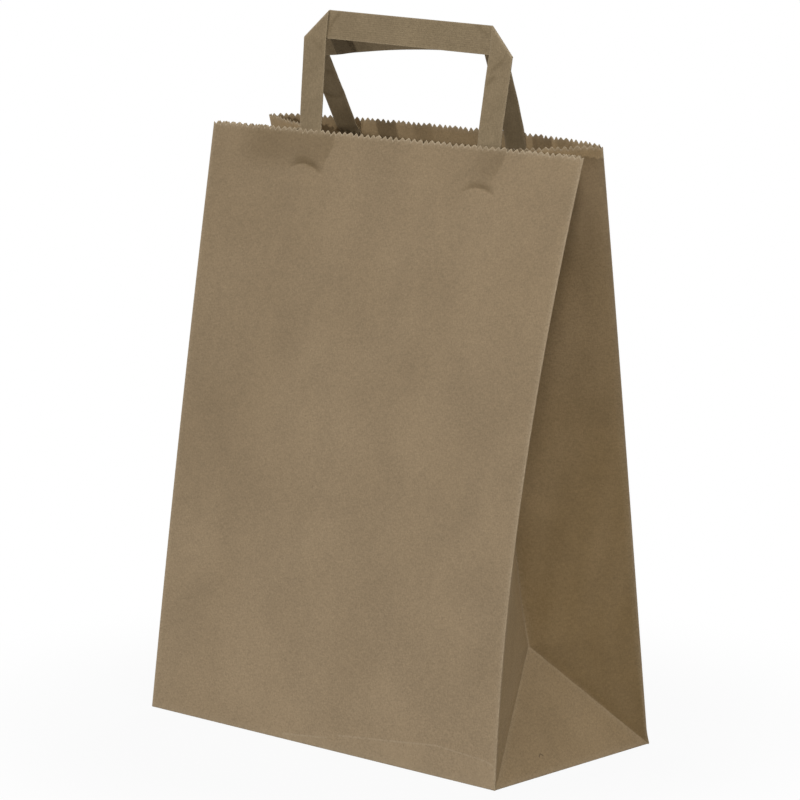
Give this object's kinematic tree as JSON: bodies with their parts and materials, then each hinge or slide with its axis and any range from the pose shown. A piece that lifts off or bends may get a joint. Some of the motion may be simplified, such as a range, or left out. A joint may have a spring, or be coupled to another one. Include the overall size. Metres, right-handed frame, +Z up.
{
  "type": "paper carrier bag",
  "caption": "Kraft paper carrier bag, standing open: gusseted sides, block bottom, zigzag-cut mouth and flat folded tape handles glued inside under patches.",
  "frame": {"origin": "middle of the base, on the surface that the bag stands on", "axes": "+Z up; +X along the wide front and rear panels; -Y is the front panel's side, +Y the rear panel's"},
  "size_m": [0.254, 0.1273, 0.3913],
  "materials": {
    "kraft_sheet": "uncoated kraft paper, matt, fine fibre grain",
    "kraft_tape": "flat tape of folded kraft plies, matt, fine lengthwise ribs",
    "kraft_patch": "uncoated kraft paper, matt"
  },
  "bodies": {
    "root": {"bag_body": "kraft_sheet", "front_handle": "kraft_tape", "rear_handle": "kraft_tape", "front_handle_patch": "kraft_patch", "rear_handle_patch": "kraft_patch"}
  },
  "joints": []
}
